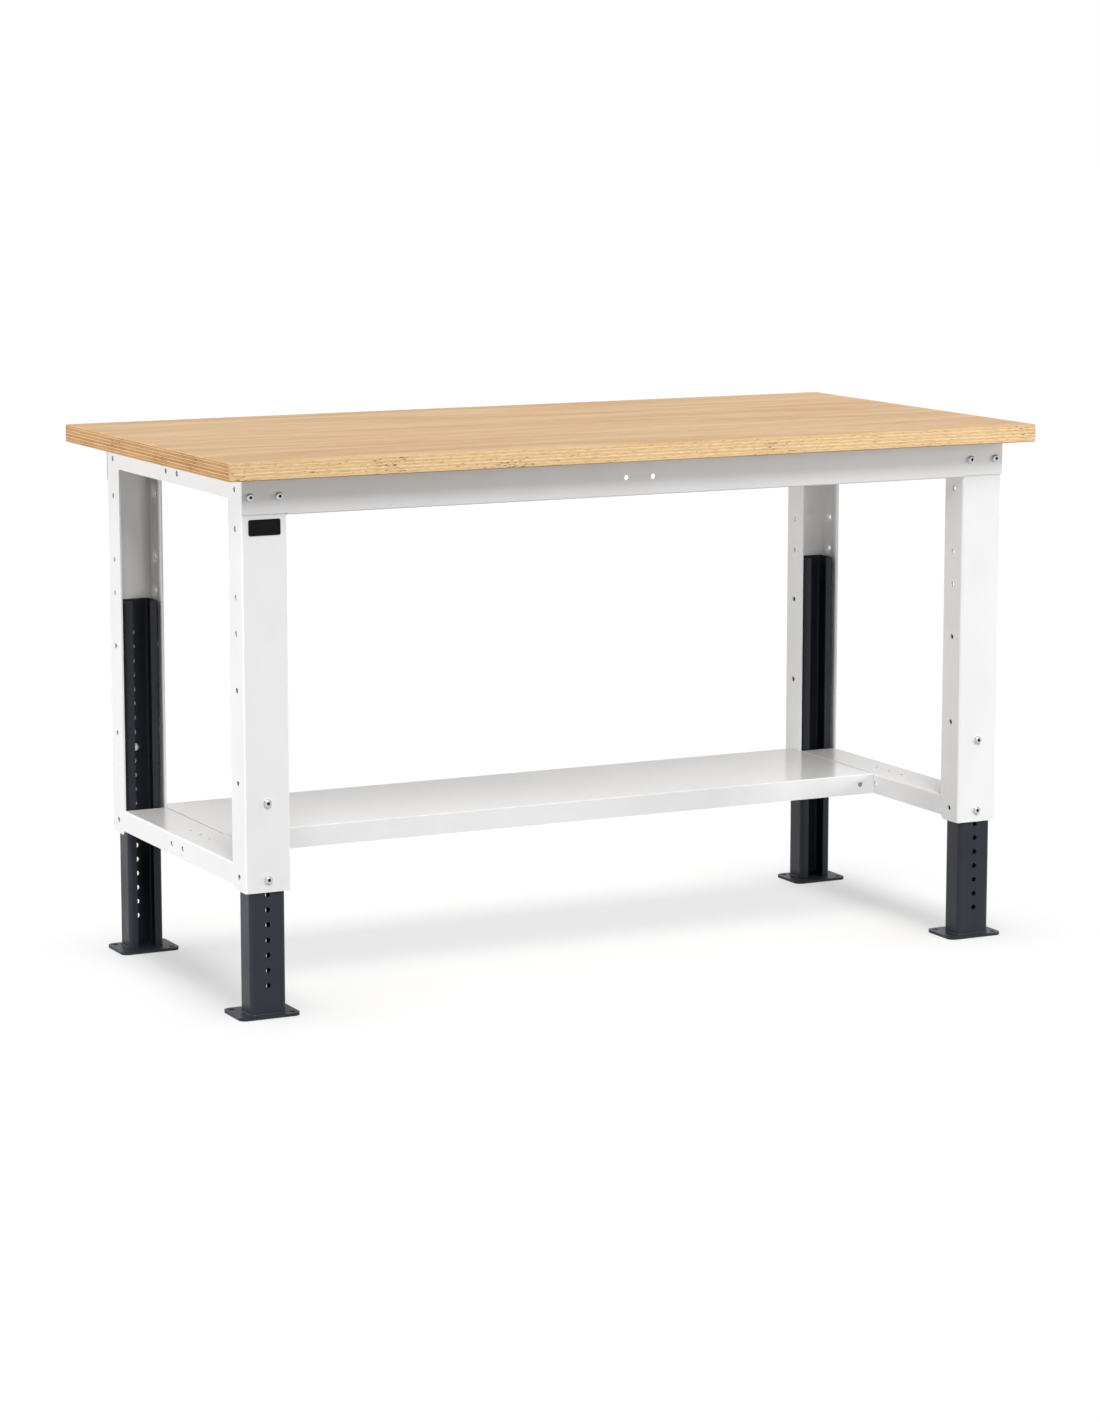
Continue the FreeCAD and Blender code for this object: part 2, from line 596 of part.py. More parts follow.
def make_shelf_fasteners(nut):
    # The heads are inside the shelf and the nuts inside the lower rails.
    grip = "sizes.frameWall + sizes.shelfGap + sizes.shelfWall"
    screw = make_machine_screw("shelf_screw", f"{grip} + sizes.nutHeight + sizes.screwTail")
    height = f"{lower_rail_z} - sizes.railHeight / 2"
    heads = []
    backs = []
    for side in left_right.values():
        for y in shelf_hole_y:
            shared = dict(y=f"{middle_y} + {y}", z=height, axis=along_y)
            inside = f"{side} * ({shelf_length} / 2 - sizes.shelfWall)"
            behind = f"{side} * ({inner_x} + sizes.frameWall)"
            heads.append(dict(x=inside, turn=-90 * side, **shared))
            backs.append(dict(x=behind, turn=90 * side, **shared))
    group("shelf_screws", screw, heads)
    group("shelf_nuts", nut, backs)


def make_worktop_screws():
    shape = [f"sizes.woodScrew{size}" for size in ("HeadDia", "HeadHeight", "Dia", "Length")]
    screw = make_screw("worktop_screw", *shape)
    upside_down = dict(axis=along_x, turn=180)
    spots = []
    for side in left_right.values():
        for y in rail_screw_y:
            z = f"{under_top_z} - sizes.frameWall"
            spots.append(dict(x=f"{side} * {leg_x}", y=f"{middle_y} + {y}", z=z, **upside_down))
    for end in front_rear:
        for x in beam_screw_x:
            y = face_y(end, f"({beam_screw_y} - sizes.beamWall)")
            spots.append(dict(x=x, y=y, z=f"{under_top_z} - sizes.beamWall", **upside_down))
    group("worktop_screws", screw, spots)


def make_label_plate():
    # A blank plate on the web of the front left upright, just under the beam.
    body = new_body("label_plate")
    outline = new_sketch(body, "outline", "XZ_Plane")
    draw_rectangle(outline, "sizes.labelWidth", "sizes.labelHeight")
    plate = pad(body, outline, "sizes.labelThick")
    bevel_edges(body, plate, straight_edges(plate, along_y), "sizes.labelCorner", "corners")
    place(body, f"-{leg_x}", face_y("front", "0"), f"{under_top_z} - sizes.labelDrop")
    nodes.append(body)


def check_and_export():
    doc.recompute()
    for item in doc.Objects:
        if "Invalid" in item.State or "Error" in item.State:
            raise ValueError(f"{item.Label} failed: {item.getStatusString()}")
    for node in nodes:
        if node.Shape.isNull() or not node.Shape.isValid() or not node.Shape.Solids:
            raise ValueError(f"{node.Label} has no valid solid")
    os.makedirs("parts", exist_ok=True)
    for node in nodes:
        node.Shape.exportStep(f"parts/{node.Label}.step")
    print(len(nodes), "nodes,", sum(len(node.Shape.Solids) for node in nodes), "solids")


make_worktop()
for end in front_rear:
    for side in left_right:
        make_upright(end, side)
for side in left_right:
    make_top_rail(side)
    make_lower_rail(side)
for end in front_rear:
    make_beam(end)
make_shelf()
for end in front_rear:
    for side in left_right:
        make_leg(end, side)
        make_base_plate(end, side)
nut = make_nut()
make_lock_fasteners(nut)
make_beam_fasteners(nut)
make_shelf_fasteners(nut)
make_worktop_screws()
make_label_plate()
check_and_export()
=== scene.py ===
import json
import math

import bmesh
import bpy
from mathutils import Matrix, Vector


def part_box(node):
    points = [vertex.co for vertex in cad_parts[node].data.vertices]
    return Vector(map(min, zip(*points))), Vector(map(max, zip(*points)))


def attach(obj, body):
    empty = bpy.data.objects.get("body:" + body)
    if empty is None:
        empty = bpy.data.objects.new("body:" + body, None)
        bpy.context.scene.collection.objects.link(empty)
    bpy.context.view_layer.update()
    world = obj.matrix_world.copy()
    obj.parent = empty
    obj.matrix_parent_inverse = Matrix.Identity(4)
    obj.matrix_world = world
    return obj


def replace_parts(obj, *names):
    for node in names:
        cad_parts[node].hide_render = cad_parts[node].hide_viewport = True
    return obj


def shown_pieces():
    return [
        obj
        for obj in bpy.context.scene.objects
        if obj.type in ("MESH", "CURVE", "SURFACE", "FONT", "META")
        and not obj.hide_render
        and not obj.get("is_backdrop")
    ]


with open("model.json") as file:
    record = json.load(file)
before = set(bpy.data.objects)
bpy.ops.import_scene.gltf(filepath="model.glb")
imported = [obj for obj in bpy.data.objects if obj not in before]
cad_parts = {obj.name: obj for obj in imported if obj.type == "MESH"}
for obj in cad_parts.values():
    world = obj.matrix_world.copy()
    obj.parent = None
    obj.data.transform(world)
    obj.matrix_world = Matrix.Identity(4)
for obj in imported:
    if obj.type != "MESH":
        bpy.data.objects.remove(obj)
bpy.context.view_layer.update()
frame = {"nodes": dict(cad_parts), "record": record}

corners = [(end, side) for end in ("front", "rear") for side in ("left", "right")]
print("frame loaded:", len(frame["nodes"]), "CAD nodes")

colourMix = {"data_type": "RGBA"}  # its inputs 6 and 7 are two colours, its output 2 is their mix
noiseSpan = (0.3, 0.7)  # nearly all values of a noise lie between these


def toLinear(hexColour):
    channels = [int(hexColour[i:i + 2], 16) / 255 for i in (1, 3, 5)]
    return tuple(c / 12.92 if c <= 0.04045 else ((c + 0.055) / 1.055) ** 2.4 for c in channels) + (1.0,)


def setInputs(tree, node, inputs):
    # an input takes a value, or a link from a socket
    for socket, value in inputs.items():
        if isinstance(value, bpy.types.NodeSocket):
            tree.links.new(value, node.inputs[socket])
        else:
            node.inputs[socket].default_value = value


def addNode(tree, kind, settings=None, inputs=None, stops=None):
    # settings are the node's own, stops fill a colour ramp
    node = tree.nodes.new(kind)
    for name, value in (settings or {}).items():
        setattr(node, name, value)
    setInputs(tree, node, inputs or {})
    for number, (position, colour) in enumerate(stops or ()):
        elements = node.color_ramp.elements
        element = elements[number] if number < len(elements) else elements.new(position)
        element.position = position
        element.color = toLinear(colour)
    return node


def startMaterial(name, patterns):
    # patterns give size along X, Y and Z in mm, then detail, roughness and distortion
    material = bpy.data.materials.new(name)
    material.use_nodes = True
    tree = material.node_tree
    tree.nodes.clear()
    shader = addNode(tree, "ShaderNodeBsdfPrincipled")
    addNode(tree, "ShaderNodeOutputMaterial", inputs={"Surface": shader.outputs[0]})
    place = addNode(tree, "ShaderNodeTexCoord").outputs["Object"]  # metres, in the CAD frame
    pattern = {}
    for kind, (sizes, detail, roughness, distortion) in patterns.items():
        perMetre = [1000 / size for size in sizes]
        scaled = addNode(tree, "ShaderNodeMapping", inputs={"Vector": place, "Scale": perMetre})
        noise = addNode(tree, "ShaderNodeTexNoise", inputs={
            "Vector": scaled.outputs[0], "Scale": 1.0,
            "Detail": detail, "Roughness": roughness, "Distortion": distortion})
        pattern[kind] = noise.outputs[0]
    return material, tree, shader, pattern


beech = {
    "faceDark": "#C79C6B",
    "face": "#D5AD7C",
    "facePale": "#DFBD8E",
    "streak": "#B38454",
    "pore": "#A2744A",
    "longGrain": "#F6DBAF",
    "crossGrain": "#E6BF8A",
    "endLongGrain": "#E4BD86",
    "endCrossGrain": "#B7834F",
    "glue": "#A9733F",
    "endGlue": "#6E3B22",
    "gap": "#4A2E1A",
    "plyMm": 2.73,  # eleven plies
    "plyVariety": 0.35,  # how far a ply's tone strays from that of its turn
    "roughness": (0.42, 0.56),
    "gloss": 0.28,
    "bump": {"Strength": 0.12, "Distance": 0.0004},  # distance in metres
    "patterns": {
        "figure": ((820, 90, 90), 5, 0.6, 1.6),  # growth figure of the rotary-cut face veneer
        "streak": ((300, 7, 7), 3, 0.6, 0.5),  # long darker threads
        "fibre": ((48, 2.4, 2.4), 3, 0.6, 0.3),  # real fibres are near 0.5 mm, drawn coarser
        "pore": ((10, 1.4, 1.4), 1, 0.6, 0.0),  # short ray flecks, near 3 mm long, drawn coarser
        "saw": ((14, 14, 1.3), 3, 0.6, 0.0),  # torn fibres along the sawn plies
        "gap": ((9, 9, 1.5), 2, 0.6, 0.0),  # small open joints between plies
        "patch": ((110, 110, 26), 2, 0.6, 0.0),  # where those joints and the glue gather
    },
    "figureStops": ((0.36, "faceDark"), (0.48, "face"), (0.62, "facePale")),
    "faceTints": (  # pattern, its low and high ends, strength and colour
        ("fibre", 0.42, 0.74, 0.50, "streak"),
        ("streak", 0.58, 0.72, 0.60, "streak"),
        ("pore", 0.62, 0.74, 0.50, "pore"),
    ),
    "sawTints": (("saw", 0.48, 0.72, 0.50, "glue"),),
    "gapTints": (("joint", 0.89, 0.95, 0.85, "gap"),),
    "gapGather": 0.45,  # share of the patches in the joints
    "faceTilt": (0.4, 0.6),  # the normal's upward part, from edge to face
    "glueWidth": (0.05, 0.2),  # in plies, from full glue to none
    "edgeGlue": 0.3,  # strength on the long edges, beside 1 on the ends
    "gluePatch": (0.35, 0.65),  # low and high ends of the patches
    "leastGlue": 0.25,
}


def makeBeechMultiplex():
    # beech multiplex, sanded and oiled: quiet long grain on the faces, bare sawn plies on every edge
    material, tree, shader, pattern = startMaterial("beechMultiplex", beech["patterns"])

    def tinted(colour, tints):
        # each tint shows where its pattern is strong
        for name, low, high, strength, tint in tints:
            amount = addNode(tree, "ShaderNodeMapRange", inputs={
                "Value": pattern[name], "From Min": low, "From Max": high, "To Max": strength})
            colour = addNode(tree, "ShaderNodeMix", colourMix, {
                0: amount.outputs[0], 6: colour, 7: toLinear(beech[tint])}).outputs[2]
        return colour

    face = addNode(tree, "ShaderNodeValToRGB", inputs={"Fac": pattern["figure"]}, stops=[
        (position, beech[tone]) for position, tone in beech["figureStops"]]).outputs[0]
    face = tinted(face, beech["faceTints"])

    normal = addNode(tree, "ShaderNodeNewGeometry").outputs["True Normal"]
    facing = addNode(tree, "ShaderNodeSeparateXYZ", inputs={0: normal})
    isEnd, upward = [
        addNode(tree, "ShaderNodeMath", {"operation": "ABSOLUTE"}, {0: facing.outputs[axis]}).outputs[0]
        for axis in (0, 2)]
    isFace = addNode(tree, "ShaderNodeMapRange", inputs={
        "Value": upward, "From Min": beech["faceTilt"][0], "From Max": beech["faceTilt"][1]}).outputs[0]

    # plies, counted up from the underside, laid crosswise in turn
    under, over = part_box("worktop")[0][2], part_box("worktop")[1][2]
    plies = (over - under) * 1000 / beech["plyMm"]
    place = addNode(tree, "ShaderNodeTexCoord").outputs["Object"]
    spot = addNode(tree, "ShaderNodeSeparateXYZ", inputs={0: place})
    layer = addNode(tree, "ShaderNodeMapRange", {"clamp": False}, {
        "Value": spot.outputs[2], "From Min": under, "From Max": over, "To Max": plies}).outputs[0]
    number = addNode(tree, "ShaderNodeMath", {"operation": "FLOOR"}, {0: layer}).outputs[0]
    border = addNode(tree, "ShaderNodeMath", {"operation": "PINGPONG"}, {0: layer, 1: 0.5}).outputs[0]
    crossed = addNode(tree, "ShaderNodeMath", {"operation": "PINGPONG"}, {0: number, 1: 1.0}).outputs[0]
    chance = addNode(tree, "ShaderNodeTexWhiteNoise", {"noise_dimensions": "1D"}, {
        "W": number}).outputs[0]
    tone = addNode(tree, "ShaderNodeMix", inputs={
        0: beech["plyVariety"], 2: crossed, 3: chance}).outputs[0]
    edge, end = [
        addNode(tree, "ShaderNodeValToRGB", inputs={"Fac": tone}, stops=[
            (0.0, beech[odd]), (1.0, beech[even])]).outputs[0]
        for odd, even in (("longGrain", "crossGrain"), ("endCrossGrain", "endLongGrain"))]
    edge = addNode(tree, "ShaderNodeMix", colourMix, {0: isEnd, 6: edge, 7: end}).outputs[2]
    edge = tinted(edge, beech["sawTints"])

    # a glue line at the borders, which shows more on the sawn ends and in some places
    glueTone = addNode(tree, "ShaderNodeMix", colourMix, {
        0: isEnd, 6: toLinear(beech["glue"]), 7: toLinear(beech["endGlue"])}).outputs[2]
    glueLine = addNode(tree, "ShaderNodeMapRange", inputs={
        "Value": border, "From Min": beech["glueWidth"][0], "From Max": beech["glueWidth"][1],
        "To Min": 1.0, "To Max": 0.0}).outputs[0]
    atEnds = addNode(tree, "ShaderNodeMapRange", inputs={
        "Value": isEnd, "To Min": beech["edgeGlue"], "To Max": 1.0}).outputs[0]
    inPatches = addNode(tree, "ShaderNodeMapRange", inputs={
        "Value": pattern["patch"], "From Min": beech["gluePatch"][0], "From Max": beech["gluePatch"][1],
        "To Min": beech["leastGlue"], "To Max": 1.0}).outputs[0]
    for share in (atEnds, inPatches):
        glueLine = addNode(tree, "ShaderNodeMath", {"operation": "MULTIPLY"}, {
            0: glueLine, 1: share}).outputs[0]
    edge = addNode(tree, "ShaderNodeMix", colourMix, {0: glueLine, 6: edge, 7: glueTone}).outputs[2]
    pattern["joint"] = addNode(tree, "ShaderNodeMath", {"operation": "MULTIPLY_ADD"}, {
        0: pattern["patch"], 1: beech["gapGather"], 2: pattern["gap"]}).outputs[0]
    edge = tinted(edge, beech["gapTints"])

    colour = addNode(tree, "ShaderNodeMix", colourMix, {0: isFace, 6: edge, 7: face}).outputs[2]
    rough = addNode(tree, "ShaderNodeMapRange", inputs={
        "Value": pattern["fibre"], "From Min": noiseSpan[0], "From Max": noiseSpan[1],
        "To Min": beech["roughness"][0], "To Max": beech["roughness"][1]}).outputs[0]
    bump = addNode(tree, "ShaderNodeBump", inputs={
        "Height": pattern["fibre"], **beech["bump"]}).outputs[0]
    setInputs(tree, shader, {
        "Base Color": colour, "Roughness": rough, "Normal": bump, "Specular IOR Level": beech["gloss"]})
    return material


lightCoat = {
    "colour": "#EFEFEF",
    "shade": "#EBEBEB",
    "shadeFrom": 0.4,
    "roughness": (0.10, 0.22),
    "gloss": 0.45,
    "bump": {"Strength": 0.05, "Distance": 0.0002},
    "patterns": {"peel": ((2.4, 2.4, 2.4), 2, 0.5, 0.0), "cloud": ((90, 90, 140), 3, 0.5, 0.0)},
}
darkCoat = {
    "colour": "#2B2F37",
    "shade": "#262A31",
    "shadeFrom": 0.4,
    "roughness": (0.35, 0.47),
    "gloss": 0.22,
    "bump": {"Strength": 0.05, "Distance": 0.0002},
    "patterns": {"peel": ((2.0, 2.0, 2.0), 2, 0.5, 0.0), "cloud": ((60, 60, 110), 3, 0.5, 0.0)},
}


def makePowderCoat(name, coat):
    # polyester powder coat, sprayed and baked on sheet steel:
    # a faint orange peel and an even satin gloss
    material, tree, shader, pattern = startMaterial(name, coat["patterns"])
    colour = addNode(tree, "ShaderNodeValToRGB", inputs={"Fac": pattern["cloud"]}, stops=[
        (coat["shadeFrom"], coat["colour"]), (noiseSpan[1], coat["shade"])]).outputs[0]
    rough = addNode(tree, "ShaderNodeMapRange", inputs={
        "Value": pattern["cloud"], "From Min": noiseSpan[0], "From Max": noiseSpan[1],
        "To Min": coat["roughness"][0], "To Max": coat["roughness"][1]}).outputs[0]
    bump = addNode(tree, "ShaderNodeBump", inputs={
        "Height": pattern["peel"], **coat["bump"]}).outputs[0]
    setInputs(tree, shader, {
        "Base Color": colour, "Roughness": rough, "Normal": bump, "Specular IOR Level": coat["gloss"]})
    return material


brightZinc = {
    "colour": "#D6D8DB",
    "shade": "#B4B8BD",
    "roughness": (0.12, 0.25),
    "patterns": {"cloud": ((1.4, 1.4, 1.4), 3, 0.5, 0.0)},
}
# darker zinc for the screw sockets: painted shade in the hollows, not a real change in the plating
socketShadeZinc = {
    "colour": "#4A4C50",
    "shade": "#2C2D30",
    "roughness": (0.45, 0.58),
    "patterns": {"cloud": ((0.8, 0.8, 0.8), 3, 0.5, 0.0)},
}


def makeZincPlate(name, zinc):
    # zinc plate on cold-formed steel:
    # cool grey metal with faint clouding; the darker, rougher variant is painted shade inside the screw
    # sockets
    material, tree, shader, pattern = startMaterial(name, zinc["patterns"])
    colour = addNode(tree, "ShaderNodeValToRGB", inputs={"Fac": pattern["cloud"]}, stops=[
        (noiseSpan[0], zinc["colour"]), (noiseSpan[1], zinc["shade"])]).outputs[0]
    rough = addNode(tree, "ShaderNodeMapRange", inputs={
        "Value": pattern["cloud"], "From Min": noiseSpan[0], "From Max": noiseSpan[1],
        "To Min": zinc["roughness"][0], "To Max": zinc["roughness"][1]}).outputs[0]
    setInputs(tree, shader, {"Base Color": colour, "Roughness": rough, "Metallic": 1.0})
    return material


blankPlate = {
    "colour": "#0F0F10",
    "shade": "#171719",
    "roughness": 0.42,
    "gloss": 0.08,
    "bump": {"Strength": 0.1, "Distance": 0.0002},
    "patterns": {"grain": ((0.9, 0.9, 0.9), 2, 0.5, 0.0)},  # near 0.3 mm, drawn coarser
    "corner": 0.003,  # metres
    "leastCorner": 0.0006,
    "cornerSteps": 8,
    "rim": 0.0022,
    "chamfer": 0.0003,
    "chamferDepth": 0.25,  # shares of the plate's thickness
    "sink": 0.4,
    "sharpAngle": 30,
}


def makeBlackPlastic():
    # black ABS, moulded with a fine satin grain
    material, tree, shader, pattern = startMaterial("blackMouldedPlastic", blankPlate["patterns"])
    colour = addNode(tree, "ShaderNodeValToRGB", inputs={"Fac": pattern["grain"]}, stops=[
        (noiseSpan[0], blankPlate["colour"]), (noiseSpan[1], blankPlate["shade"])]).outputs[0]
    bump = addNode(tree, "ShaderNodeBump", inputs={
        "Height": pattern["grain"], **blankPlate["bump"]}).outputs[0]
    setInputs(tree, shader, {
        "Base Color": colour, "Normal": bump,
        "Roughness": blankPlate["roughness"], "Specular IOR Level": blankPlate["gloss"]})
    return material


finishes = {
    "multilayer_wood": makeBeechMultiplex(),
    "light_coat": makePowderCoat("lightPowderCoat", lightCoat),
    "dark_coat": makePowderCoat("anthracitePowderCoat", darkCoat),
    "zinc": makeZincPlate("brightZincPlate", brightZinc),
    "blank_plate": makeBlackPlastic(),
}
socketShadeFinish = makeZincPlate("paintedSocketShade", socketShadeZinc)
for part in frame["record"]["subparts"]:
    node = frame["nodes"][part["node"]]
    node.data.materials.clear()
    node.data.materials.append(finishes[part["material_slot"]])
print("finishes on every CAD node:", ", ".join(finishes))


def newPiece(name, mesh, slotName, body, sharpAngle, extraFinish=None):
    bmesh.ops.recalc_face_normals(mesh, faces=mesh.faces)
    data = bpy.data.meshes.new(name)
    mesh.to_mesh(data)
    mesh.free()
    for polygon in data.polygons:
        polygon.use_smooth = True
    data.set_sharp_from_angle(angle=math.radians(sharpAngle))
    data.materials.append(finishes[slotName])
    if extraFinish:
        data.materials.append(extraFinish)
    piece = bpy.data.objects.new(name, data)
    bpy.context.collection.objects.link(piece)
    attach(piece, body)
    return piece


def bridge(mesh, rings):
    # faces between each ring of points and the next
    faces = []
    for lower, upper in zip(rings, rings[1:]):
        count = len(lower)
        for i in range(count):
            j = (i + 1) % count
            faces.append(mesh.faces.new((lower[i], lower[j], upper[j], upper[i])))
    return faces


def solidsOf(node):
    # the lowest corner, the highest corner and the points of each solid in a CAD group
    data = frame["nodes"][node].data
    parent = list(range(len(data.vertices)))

    def root(i):
        while parent[i] != i:
            i = parent[i]
        return i

    byPlace = {}
    for vertex in data.vertices:
        parent[vertex.index] = byPlace.setdefault(tuple(round(c, 6) for c in vertex.co), vertex.index)
    for edge in data.edges:
        parent[root(edge.vertices[0])] = root(edge.vertices[1])
    groups = {}
    for vertex in data.vertices:
        groups.setdefault(root(vertex.index), []).append(vertex.co)
    solids = []
    for points in groups.values():
        low = Vector([min(p[i] for p in points) for i in range(3)])
        high = Vector([max(p[i] for p in points) for i in range(3)])
        solids.append((low, high, points))
    return solids


def unit(axis, sign=1):
    return Vector([sign if i == axis else 0 for i in range(3)])


def fullTurn(segments):
    return [2 * math.pi * i / segments for i in range(segments)]


def hexagon(halfFlats, turn):
    # how far a hexagon reaches at this turn
    return halfFlats / math.cos(turn % (math.pi / 3) - math.pi / 6)


machineScrew = {
    "segments": 36,
    "head": 0.007,  # radii, heights and pitch in metres
    "headHeight": 0.0044,
    "socket": 0.0025,
    "socketDepth": 0.0028,
    "shank": 0.0039,
    "root": 0.0034,
    "pitch": 0.00125,
}
woodScrew = {
    "segments": 28,
    "head": 0.005,
    "headHeight": 0.0035,
    "socket": 0.0015,
    "socketDepth": 0.002,
    "shank": 0.0024,
    "root": 0.0017,
    "pitch": 0.0022,
}
screwForm = {  # what both kinds of screw have in common
    "tip": 0.2,  # share of the root's radius
    "runIn": 0.0003,  # plain ends of the thread in metres
    "runOut": 0.0006,
    "rim": 0.97,  # shares of the head's radius and height
    "rimHeight": 0.07,
    "domeSteps": 7,
    "domeEnd": 0.94,  # share of a quarter turn
    "crown": 1.5,  # shares of the socket's width
    "mouth": 1.06,
    "pit": 0.2,
    "mouthDepth": 0.0002,
    "pitDepth": 0.0006,
    "roll": 0.7,  # radians from screw to screw, so that no two sockets stand alike
    "sharpAngle": 38,
}


def addScrew(mesh, screw, length, matrix):
    # a domed head over z = 0 with a hexagon socket, and a threaded shank below it
    form = screwForm
    turns = fullTurn(screw["segments"])
    head, top, socket = screw["head"], screw["headHeight"], screw["socket"]
    root, shank, pitch = screw["root"], screw["shank"], screw["pitch"]
    profile = [(root * form["tip"], -length), (root, -length)]
    z = -length + form["runIn"]
    while z + pitch < -form["runOut"]:
        profile += [(root, z), (shank, z + 0.5 * pitch)]
        z += pitch
    rimHeight = form["rimHeight"]
    profile += [(shank, z), (shank, 0), (head * form["rim"], 0), (head, top * rimHeight)]
    crown = socket * form["crown"]
    last = math.pi / 2 * form["domeEnd"]
    for step in range(1, form["domeSteps"] + 1):
        turn = step / form["domeSteps"] * last
        rise = math.sin(turn) / math.sin(last)
        dome = crown + (head - crown) * math.cos(turn)
        profile.append((dome, top * (rimHeight + (1 - rimHeight) * rise)))
    floor = top - screw["socketDepth"]
    hollow = [
        (form["mouth"] * socket, top), (socket, top - form["mouthDepth"]),
        (socket, floor), (form["pit"] * socket, floor - form["pitDepth"])]
    reaches = [([radius] * len(turns), height) for radius, height in profile]
    reaches += [([hexagon(flats, t) for t in turns], height) for flats, height in hollow]
    rings = [[mesh.verts.new(matrix @ Vector((radius * math.cos(t), radius * math.sin(t), height)))
              for radius, t in zip(radii, turns)] for radii, height in reaches]
    bridge(mesh, rings[:-2])
    mesh.faces.new(list(reversed(rings[0])))
    for face in bridge(mesh, rings[-3:]) + [mesh.faces.new(rings[-1])]:
        face.material_index = 1  # the socket's darker zinc, painted shade in the hollow


for name, node, axis, screw in (
        ("lockScrews", "lock_screws", 1, machineScrew),
        ("beamScrews", "beam_screws", 1, machineScrew),
        ("shelfScrews", "shelf_screws", 0, machineScrew),
        ("worktopScrews", "worktop_screws", 2, woodScrew)):
    mesh = bmesh.new()
    solids = solidsOf(node)
    for number, (low, high, points) in enumerate(solids):
        middle = (low + high) / 2
        others = [i for i in range(3) if i != axis]
        widest = max(points, key=lambda p: max(abs(p[i] - middle[i]) for i in others))  # on the head
        sign = 1 if widest[axis] > middle[axis] else -1
        seat = middle.copy()
        seat[axis] = (high[axis] if sign > 0 else low[axis]) - sign * screw["headHeight"]
        facing = unit(axis, sign).to_track_quat("Z", "Y").to_matrix().to_4x4()
        roll = Matrix.Rotation(screwForm["roll"] * number, 4, "Z")
        length = high[axis] - low[axis] - screw["headHeight"]
        addScrew(mesh, screw, length, Matrix.Translation(seat) @ facing @ roll)
    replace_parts(newPiece(name, mesh, "zinc", "frame", screwForm["sharpAngle"], socketShadeFinish), node)
    print(name, "made:", len(solids))

hexagonNut = {
    "segments": 36,
    "halfFlats": 0.0065,
    "bore": 0.0041,
    "face": 0.96,  # share of the half width that stays flat
    "chamfer": 30,
    "sharpAngle": 24,
}


def addNut(mesh, height, matrix):
    # a hexagon with both its faces turned down at the corners
    bore, flats = hexagonNut["bore"], hexagonNut["halfFlats"]
    flat = hexagonNut["face"] * flats
    slope = math.tan(math.radians(hexagonNut["chamfer"]))
    rings = [[], [], [], [], [], []]
    for t in fullTurn(hexagonNut["segments"]):
        corner = hexagon(flats, t)
        drop = (corner - flat) * slope
        outline = (
            (bore, 0), (flat, 0), (corner, drop),
            (corner, height - drop), (flat, height), (bore, height))
        for ring, (radius, z) in zip(rings, outline):
            ring.append(mesh.verts.new(matrix @ Vector((radius * math.cos(t), radius * math.sin(t), z))))
    bridge(mesh, rings + rings[:1])


for name, node, axis in (
        ("lockNuts", "lock_nuts", 1),
        ("beamNuts", "beam_nuts", 1),
        ("shelfNuts", "shelf_nuts", 0)):
    mesh = bmesh.new()
    solids = solidsOf(node)
    for low, high, _ in solids:
        size = high - low
        seat = (low + high) / 2
        seat[axis] = low[axis]
        along = unit(axis)
        across = unit(max((i for i in range(3) if i != axis), key=lambda i: size[i]))  # over the corners
        turned = Matrix((across, along.cross(across), along)).transposed().to_4x4()
        addNut(mesh, size[axis], Matrix.Translation(seat) @ turned)
    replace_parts(newPiece(name, mesh, "zinc", "frame", hexagonNut["sharpAngle"]), node)
    print(name, "made:", len(solids))

weld = {
    "radius": 0.0021,  # metres
    "sink": 0.0008,  # how deep the bead lies in the base plate
    "corner": 0.008,
    "step": 0.0008,
    "sections": 10,
    "ripple": 0.12,  # shares of the radius
    "rippleLength": 0.0034,
    "wander": 0.05,
    "wanderPace": 0.37,  # slower than the ripples
    "startSize": 0.35,
    "startSteps": 6,
    "sharpAngle": 70,
}


def weldPath(end, low, high):
    # three straight runs round the leg's outside, with a rounded corner between them
    r = weld["corner"]
    outerY, innerY = (low[1], high[1]) if end == "front" else (high[1], low[1])
    inward = 1 if end == "front" else -1
    nearY, farY = outerY + inward * r, innerY - inward * r
    runs = [
        (Vector((low[0], farY, 0)), Vector((low[0], nearY, 0))),
        (Vector((low[0] + r, outerY, 0)), Vector((high[0] - r, outerY, 0))),
        (Vector((high[0], nearY, 0)), Vector((high[0], farY, 0))),
    ]
    centres = [Vector((low[0] + r, nearY, 0)), Vector((high[0] - r, nearY, 0))]
    path = []
    for number, (a, b) in enumerate(runs):
        steps = max(2, int((b - a).length / weld["step"]))
        path += [a.lerp(b, i / steps) for i in range(steps)]
        if number < len(centres):
            centre = centres[number]
            first = b - centre
            last = runs[number + 1][0] - centre
            steps = int(r * math.pi / 2 / weld["step"])
            for i in range(steps):
                turn = i / steps * math.pi / 2
                path.append(centre + first * math.cos(turn) + last * math.sin(turn))
    return path


